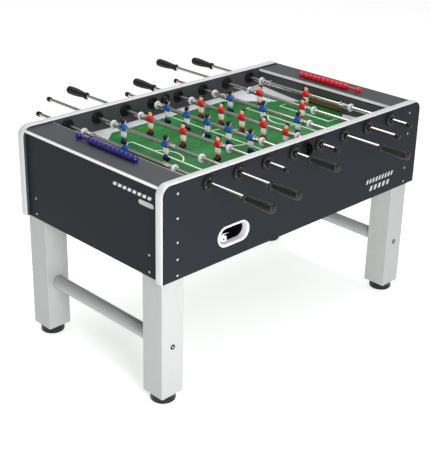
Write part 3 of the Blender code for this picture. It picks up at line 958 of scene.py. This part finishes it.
def collar_mesh():
    """A turned steel collar held by one small screw."""
    half, radius = 0.0038, 0.012
    profile = [
        (-half, 0.0084), (-half, radius - 0.0006), (-half + 0.0006, radius),
        (half - 0.0006, radius), (half, radius - 0.0006), (half, 0.0084),
    ]
    shape = Shape().turned(profile, "spring", 36, closed=True)
    top = (0, 0, radius)
    head = mm((-1, 2.6), (1.6, 2.6), (2.4, 1.8), (2.5, 0.4))
    shape.turned(head, "screw", 16, "Z", top)
    # A dark hexagon on the screw's head: painted shade for its socket.
    shape.turned(mm((2, 1.1), (2.7, 1.1)), "bolt", 6, "Z", top)
    return shape.mesh("collar", 35)


FIGURE_HALF = 0.015
RING_FROM_FIGURE, COLLAR_FROM_FIGURE = 0.058, 0.0205
GOALIE_RING, GOALIE_COLLAR = 0.251, 0.198
COLLAR_REACH, RING_REACH = 0.0042, 0.0044  # from their middles to the spring between them
LOOSE_RINGS = {  # rings not tied to their rods; each number, how far along a blend it was meant to ride from 0 on the table to 1 on the rod, is not used
    "blue_defence_ring_front": 0.5,
    "blue_attack_ring_rear": 0.602,
}


def loose_ring(name, mesh, spot):
    """A stop ring that stays where it is placed, tied to no body."""
    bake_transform(piece(name, mesh.copy(), spot))


def build_stops(index, figures_y, collar, ring, springs):
    """A collar, a spring and a stop ring on either side of a rod's figures."""
    team, role, players, spacing, slid = RODS[index]
    key, shaft = f"{team}_{role}", f"{team}_{role}_shaft"
    goalie = players == 1
    end_figure = spacing * (players - 1) / 2
    ring_y = GOALIE_RING if goalie else end_figure + RING_FROM_FIGURE
    collar_y = GOALIE_COLLAR if goalie else end_figure + COLLAR_FROM_FIGURE
    spring_y = (collar_y + COLLAR_REACH + ring_y - RING_REACH) / 2
    for (side, row), slide in zip(SIDES, slid):
        shift = slide if goalie else 0.0
        for label, mesh, along in (("collar", collar, collar_y), ("spring", springs[goalie], spring_y)):
            spot = (rod_x(index), figures_y + side * (along + shift), ROD_LEVEL)
            add(f"{key}_{label}_{row}", mesh, shaft, spot)
        spot = (rod_x(index), figures_y + side * (ring_y + slide), ROD_LEVEL)
        name = f"{key}_ring_{row}"
        if name in LOOSE_RINGS:
            loose_ring(name, ring, spot)
        else:
            add(name, ring, shaft, spot)


def build_rods():
    goalie_spring, spring = spring_mesh(0.04, 9), spring_mesh(0.025, 6)
    stops = collar_mesh(), ring_mesh(), {True: goalie_spring, False: spring}
    grip = handle_mesh()
    for index, (team, role, players, spacing, _) in enumerate(RODS):
        key, shaft, x = f"{team}_{role}", f"{team}_{role}_shaft", rod_x(index)
        low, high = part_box(f"{key}_rod")
        handle_low, handle_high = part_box(f"{key}_handle")
        front = handle_low.y < CABINET_Y
        plain_end, guard = (high.y, handle_high.y) if front else (low.y, handle_low.y)
        figures_y = middle(f"{key}_player_1")[1] + spacing * (players - 1) / 2
        mesh = rod_mesh(low.y - figures_y, high.y - figures_y)
        spot = (x, figures_y, ROD_LEVEL)
        add(f"{key}_rod_chromed", mesh, shaft, spot, replaces=(f"{key}_rod",))
        sleeve = 0.012 if role == "attack" else 0.017
        cap = cap_mesh(1 if front else -1, sleeve)
        add(f"{key}_rod_cap", cap, shaft, (x, plain_end, ROD_LEVEL))
        spot, turn = (x, guard, ROD_LEVEL), 0.0 if front else math.pi
        add(f"{key}_grip", grip, f"{key}_figures", spot, turn, (f"{key}_handle",))
        build_stops(index, figures_y, *stops)


# ---- Figures ----


def rounded(half_x, half_y, power, steps=20):
    """A superellipse: power 2 is an ellipse, and higher powers are squarer."""
    points = []
    for i in range(steps):
        angle = math.tau * (i + 0.5) / steps
        c, s = math.cos(angle), math.sin(angle)
        x, y = abs(c) ** (2 / power), abs(s) ** (2 / power)
        points.append((half_x * math.copysign(x, c), half_y * math.copysign(y, s)))
    return points


def smooth_rows(rows, steps=3):
    """Rows of numbers with Catmull-Rom rows added between them."""
    made = []
    for i in range(len(rows) - 1):
        before, here = rows[max(i - 1, 0)], rows[i]
        after, last = rows[i + 1], rows[min(i + 2, len(rows) - 1)]
        for step in range(steps):
            t = step / steps
            row = []
            for a, b, c, d in zip(before, here, after, last):
                bend = 2 * a - 5 * b + 4 * c - d + t * (3 * (b - c) + d - a)
                row.append(b + 0.5 * t * (c - a + t * bend))
            made.append(row)
    made.append(rows[-1])
    return made


def body_part(shape, rows, look, power=2.4, steps=20, y=0.0):
    """A smooth upright shell through rows of height, forward, half depth, half width."""
    rings = []
    for z, forward, depth, width in smooth_rows(rows):
        outline = rounded(max(depth, 0.0001), max(width, 0.0001), power, steps)
        rings.append([(forward + px, y + py, z) for px, py in outline])
    shape.loft(rings, look)


def limb(shape, path, side, look, steps=12):
    """A round limb along (x, y, z, radius) rows. Side mirrors it in Y."""
    rows = [(x, side * y, z, radius) for x, y, z, radius in smooth_rows(path)]
    rings = []
    for i, (x, y, z, radius) in enumerate(rows):
        ahead, behind = rows[min(i + 1, len(rows) - 1)], rows[max(i - 1, 0)]
        along = Vector((ahead[0] - behind[0], ahead[1] - behind[1], ahead[2] - behind[2])).normalized()
        side = along.cross(Vector((1, 0, 0))).normalized()
        up = side.cross(along)
        centre = Vector((x, y, z))
        rings.append([tuple(centre + side * a + up * b) for a, b in circle(max(radius, 0.0001), steps)])
    shape.loft(rings, look)


def ellipsoid(shape, centre, radii, look, steps=16):
    rings = []
    for share in between(0.02, 0.98, 10):
        angle = share * math.pi
        z = centre[2] - radii[2] * math.cos(angle)
        outline = rounded(radii[0] * math.sin(angle), radii[1] * math.sin(angle), 2, steps)
        rings.append([(centre[0] + px, centre[1] + py, z) for px, py in outline])
    shape.loft(rings, look)


def figure_side(shape, side, team):
    """The limbs, ear, eye and brow of one side."""
    arm = mm(
        (0, 11.2, 11.2, 3), (-0.4, 13.4, 8.8, 4.1), (-1, 15, 4, 3.6), (-1.2, 15, -1, 3.3),
        (0.4, 13.8, -4.8, 2.9), (2.2, 12.2, -7.6, 2),
    )
    limb(shape, arm, side, team)
    ellipsoid(shape, (0.0028, side * 0.0112, -0.0096), (0.0026, 0.0021, 0.0029), "skin", 12)
    leg = mm(
        (-28, 0, 5.4, 5.2), (-32, 0.6, 5.6, 5.1), (-35, 0.4, 5.2, 4.7), (-38, -0.4, 4.8, 4.5),
    )
    body_part(shape, leg, "skin", 2.3, 16, side * 0.0053)
    sock = mm(
        (-36.8, -0.2, 5, 4.9), (-37.8, -0.3, 5.6, 5.5), (-39.2, -0.3, 5.6, 5.4),
        (-43, -0.6, 5.2, 5), (-49, -0.6, 5, 5),
    )
    body_part(shape, sock, team, 2.3, 16, side * 0.0053)
    thigh = mm(
        (-29.8, 0, 5.2, 5), (-30, 0, 7.2, 6.2), (-27, 0.2, 8, 6.4), (-20, 0.4, 8.2, 6.4),
        (-13, 0.2, 7.2, 5.8), (-9, 0, 5, 4.8),
    )
    body_part(shape, thigh, "shorts", 2.6, 18, side * 0.0054)
    boot = mm(
        (-60.4, 3.5, 10.2, 5), (-60, 3.5, 11.4, 5.6), (-56, 3.5, 11.8, 5.9),
        (-52, 2.6, 10.6, 5.8), (-49, 0.6, 7.6, 5.6), (-46.8, -0.4, 5.8, 5.3),
        (-46, -0.4, 4.6, 4.2),
    )
    body_part(shape, boot, "boots", 3.2, 18, side * 0.0056)
    ellipsoid(shape, (0.0004, side * 0.008, 0.0252), (0.0016, 0.0013, 0.0024), "skin", 10)
    ellipsoid(shape, (0.009, side * 0.003, 0.0266), (0.0008, 0.001, 0.0009), "hair", 10)
    shape.block((0.0083, side * 0.003 - 0.0015, 0.0286), (0.0094, side * 0.003 + 0.0015, 0.0292), "hair")

def figure_middle(shape, team):
    """The belt, neck, head, hair, nose, mouth and collar."""
    belt = mm(
        (-13.6, 0.2, 7, 10.8), (-12.8, 0.2, 8, 11.3), (-11.2, 0.2, 8, 11.1), (-10.4, 0.2, 7, 10),
    )
    body_part(shape, belt, "shorts", 2.6)
    neck = mm((12, -0.2, 4.2, 4.4), (15.5, -0.2, 4, 4.2), (19, 0.4, 4, 4.2))
    body_part(shape, neck, "skin", 2.0, 16)
    head = mm(
        (15, 3, 1.8, 2), (15.7, 2.7, 4.6, 4), (18.2, 2, 7, 6.1), (22.8, 1.2, 8.6, 7.7),
        (27.8, 0.6, 8.9, 8), (32.2, 0.2, 7.6, 6.8), (35, 0, 4.6, 4.2), (35.8, 0, 1.2, 1.2),
    )
    body_part(shape, head, "skin", 2.1)
    hair = mm(
        (18, -6.2, 2.2, 4.6), (20.5, -5.2, 5, 6.8), (24.8, -4, 7, 8.3), (29.2, -2.6, 8.4, 8.8),
        (32.8, -1.2, 8.8, 8.1), (35.5, -0.4, 7, 6.2), (37, -0.4, 4, 3.6), (37.4, -0.4, 1, 1),
    )
    body_part(shape, hair, "hair", 2.2)
    ellipsoid(shape, (0.0098, 0.0, 0.0236), (0.0015, 0.0012, 0.0023), "skin", 10)
    shape.block((0.0086, -0.002, 0.0193), (0.009, 0.002, 0.0198), "red")
    collar = mm((12.4, -0.2, 5.6, 6.2), (13.6, -0.2, 6, 6.6), (14.8, -0.2, 5.2, 5.6))
    body_part(shape, collar, "shorts" if team == "blue" else "red", 2.0, 18)

def figure_mesh(team):
    """A moulded player facing +X, with the rod through the chest at the origin."""
    shape = Shape()
    torso = mm(
        (-11.8, 0.2, 7.2, 9.8), (-8, 0.4, 8.6, 10.4), (-3, 0.4, 10.6, 11.2), (3, 0.4, 11.6, 12.2),
        (8, 0.4, 10.8, 13.4), (11.8, 0, 8.4, 13), (14.5, -0.2, 5.8, 8.6), (16, -0.2, 3, 4),
    )
    body_part(shape, torso, team, 2.6)
    hub = [(-FIGURE_HALF, 0.0088), (-FIGURE_HALF, 0.0106), (-0.0142, 0.0112), (0.0142, 0.0112)]
    hub += [(FIGURE_HALF, 0.0106), (FIGURE_HALF, 0.0088)]
    shape.turned(hub, team, 28, closed=True)
    for side in (-1, 1):
        figure_side(shape, side, team)
    figure_middle(shape, team)
    pin = mm((-12.2, 2.2), (-11.4, 2.2), (-10.4, 2.2))
    shape.turned(pin, "screw", 14, "X")
    return shape.mesh(f"figure_{team}", 40)


def build_figures():
    meshes = {team: figure_mesh(team) for team in ("blue", "red")}
    for index, (team, role, players, *_) in enumerate(RODS):
        for number in range(players):
            node = f"{team}_{role}_player_{number + 1}"
            spot = (rod_x(index), middle(node)[1], ROD_LEVEL)
            turn = 0.0 if team == "blue" else math.pi
            name = f"{team}_{role}_figure_{number + 1}"
            add(name, meshes[team], f"{team}_{role}_figures", spot, turn, (node,))


# ---- Score counters ----


def bead_mesh(look):
    """A barrel-shaped bead with soft rims and a bore, centred."""
    half, radius, bore = 0.0119, 0.0125, 0.0067
    fall = ((0, 48), (4, 34), (14, 20), (30, 9), (55, 2), (90, 0))  # in tenths of a millimetre
    rim = [(half, bore)] + [(half - along / 10000, radius - inward / 10000) for along, inward in fall]
    profile = rim + [(-along, r) for along, r in reversed(rim)]
    return Shape().turned(profile, look, 36, closed=True).mesh("bead", 40)


BEADS = 10
BAR_END = 0.155  # from the bar's middle to the middle of each end ball


def score_bar_mesh(look):
    """A round bar along Y with a ball on a foot at each end."""
    rod = mm((-152, 5.4), (-151, 6), (151, 6), (152, 5.4))
    foot = mm((-13, 8.8), (-12.6, 9.4), (-10, 9.4), (-4, 8))
    bar = Shape().turned(rod, look, 24)
    for side in (-1, 1):
        ball = []
        for share in between(0.03, 0.97, 14):
            along = side * BAR_END - 0.013 * math.cos(share * math.pi)
            ball.append((along, 0.0002 + 0.0126 * math.sin(share * math.pi)))
        bar.turned(ball, look)
        bar.turned(foot, look, 28, "Z", (0, side * BAR_END, 0))
    return bar.mesh("score_bar", 40)


def build_counters():
    for team in ("blue", "red"):
        node, look, slot = f"{team}_score_beads", f"{team}_bead", f"{team}_bead_plastic"
        low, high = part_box(node)
        x, _, z = middle(node)
        step = (high.y - low.y) / BEADS
        bead = bead_mesh(look)
        for i in range(BEADS):
            spot = (x, low.y + step * (i + 0.5), z)
            stands_for = (node,) if i == 0 else ()
            add(f"{team}_bead_{i + 1}", bead, f"{team}_counter", spot, replaces=stands_for)
        add(f"{team}_score_bar", score_bar_mesh(look), "table", (x, CABINET_Y, z))


# ---- Legs ----

POST_INSIDE = (0.586, 0.282)  # the corner posts' inner faces, from the middle
POST_TOP = 0.74


def build_leg(key, end, side):
    """The laminated leg, the post that it meets inside the cabinet, and its bolt."""
    node = f"{key}_leg"
    low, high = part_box(node)
    shoulder = side_low.z - 0.0005
    shaft = Shape().block(tuple(low), (high.x, high.y, shoulder), "leg")
    bevelled(shaft, f"{key}_leg_shaft", 0.0022, (node,))
    post_x = (end * POST_INSIDE[0], end * (end_low.x - GAP))
    post_y = (side * POST_INSIDE[1], side * (INSIDE_Y - GAP))
    post = Shape().slab(post_x, post_y, (shoulder + 0.0002, POST_TOP), "board")
    bevelled(post, f"{key}_corner_post", 0.001)
    bolt = Shape()
    face = high.y if side > 0 else low.y
    centre = (middle(node)[0], face, middle("right_stretcher")[2])
    rim = mm((0, 10), (0.8, 10), (1.7, 9.1), (2, 5.4), (0.6, 4.8), (0.6, 0.4))
    for profile, look, steps in ((rim, "bolt", 28), (mm((0.4, 4.2), (1.3, 3.7)), "screw", 20)):
        outward = [(side * along, radius) for along, radius in profile]
        bolt.turned(outward, look, steps, centre=centre)
    add(f"{key}_leg_bolt", bolt.mesh("leg_bolt"), "table")


def build_legs():
    for end, column in ENDS:
        for side, row in SIDES:
            build_leg(f"{row}_{column}", end, side)
            build_foot(f"{row}_{column}")
        build_stretcher(column)


def build_foot(key):
    """A round pad with a grip band, and the threaded stem up into the leg."""
    low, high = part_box(f"{key}_foot")
    radius = (high.x - low.x) / 2
    top = LEG_BOTTOM - low.z - 0.0008
    profile = [
        (0.0, radius - 0.0036), (0.0008, radius - 0.0014), (0.0024, radius - 0.0002),
        (0.008, radius), (0.0088, radius - 0.0007), (0.0098, radius - 0.0007), (0.0106, radius),
        (top - 0.0048, radius), (top - 0.002, radius - 0.0012), (top - 0.0006, radius - 0.0036),
        (top - 0.0004, radius - 0.009), (top - 0.0004, 0.01), (top + 0.0003, 0.009),
        (top + 0.0003, 0.0062),
    ]
    shape = Shape().turned(profile, "foot", 56, "Z")
    thread = []
    for i in range(14):
        z = top + 0.0021 * i
        thread += [(z, 0.0058), (z + 0.00105, 0.0051)]
    shape.turned(thread, "screw", 24, "Z")
    mesh = shape.mesh("levelling_foot", 35)
    x, y, _ = middle(f"{key}_foot")
    add(f"{key}_foot_pad", mesh, f"{key}_leveller", (x, y, low.z), replaces=(f"{key}_foot",))


def build_stretcher(column):
    """A round rail between the two legs of one end."""
    low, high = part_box(f"{column}_stretcher")
    outline = rounded((high.x - low.x) / 2, (high.z - low.z) / 2, 2.0, 48)
    mid_x, _, mid_z = middle(f"{column}_stretcher")
    rings = [[(mid_x + x, y, mid_z + z) for x, z in outline] for y in between(low.y, high.y, 12)]
    mesh = Shape().loft(rings, "rail").mesh("stretcher", 50)
    add(f"{column}_stretcher_rail", mesh, "table", replaces=(f"{column}_stretcher",))


# ---- Stage, light and camera ----


def area_light(name, location, target, size, power):
    data = bpy.data.lights.new(name, "AREA")
    data.shape = "RECTANGLE"
    data.size, data.size_y = size
    data.energy = power
    obj = new_object(name, data)
    obj.location = location
    direction = Vector(target) - Vector(location)
    obj.rotation_euler = direction.to_track_quat("-Z", "Y").to_euler()


def build_floor():
    """A wide white floor that glows a little."""
    made = Shader("floor_white", (0.9, 0.9, 0.9), 0.95, specular=0.05)
    made.tint(2.0, 0.01)
    made.set("Emission Color", (1.0, 1.0, 1.0, 1.0))
    made.set("Emission Strength", 0.55)
    mesh = bpy.data.meshes.new("floor")
    reach, level = 40.0, -0.0004
    corners = [(x * reach, y * reach, level) for x, y in ((-1, -1), (1, -1), (1, 1), (-1, 1))]
    mesh.from_pydata(corners, [], [(0, 1, 2, 3)])
    mesh.materials.append(made.material)
    new_object("floor", mesh)


def build_sky():
    """A white sky that is brighter in front of the table than behind it."""
    world = bpy.data.worlds.new("studio")
    bpy.context.scene.world = world
    world.use_nodes = True
    tree = world.node_tree
    place = tree.nodes.new("ShaderNodeTexCoord")
    parts = tree.nodes.new("ShaderNodeSeparateXYZ")
    fade = tree.nodes.new("ShaderNodeMapRange")
    fade.interpolation_type = "SMOOTHSTEP"
    for name, value in (("From Min", -0.5), ("From Max", 0.7), ("To Min", 0.53), ("To Max", 0.3)):
        fade.inputs[name].default_value = value
    tree.links.new(place.outputs["Generated"], parts.inputs["Vector"])
    tree.links.new(parts.outputs["Y"], fade.inputs["Value"])
    tree.links.new(fade.outputs["Result"], tree.nodes["Background"].inputs["Strength"])
    tree.nodes["Background"].inputs["Color"].default_value = (1.0, 1.0, 1.0, 1.0)


def build_lights():
    area_light("top_light", (0.3, 0.45, 3.4), (0.3, 0.45, 0.0), (3.2, 3.0), 68)
    area_light("key_light", (-1.25, -2.1, 1.5), (-0.5, -0.4, 0.5), (0.7, 0.7), 22)
    area_light("low_light", (-0.95, -2.0, 0.45), (-0.45, -0.46, 0.62), (0.5, 0.3), 11)
    bpy.context.scene.view_settings.view_transform = "Standard"


def build_camera():
    """The photograph's viewing angle."""
    data = bpy.data.cameras.new("camera")
    data.sensor_width = 36.0
    data.lens = 78.0
    data.shift_y = -0.0772
    data.clip_end = 60.0
    obj = new_object("camera", data)
    yaw, pitch, roll = 0.78204, 0.40387, 0.02087
    forward = Vector((math.sin(yaw) * math.cos(pitch), math.cos(yaw) * math.cos(pitch), -math.sin(pitch)))
    right = Vector((math.cos(yaw), -math.sin(yaw), 0.0))
    up = right.cross(forward)
    across = right * math.cos(roll) + up * math.sin(roll)
    above = up * math.cos(roll) - right * math.sin(roll)
    turn = Matrix((across, above, -forward)).transposed().to_4x4()
    place = in_cabinet(-2.6923, -2.6447, 2.0922)
    obj.matrix_world = Matrix.Translation(place) @ turn
    bpy.context.scene.camera = obj


build_camera()
build_floor()
build_sky()
build_lights()
build_sides()
build_ends()
build_marks()
build_goal_pockets()
build_pitch()
build_strips()
build_bushings()
build_ball_return()
build_rods()
build_figures()
build_counters()
build_legs()
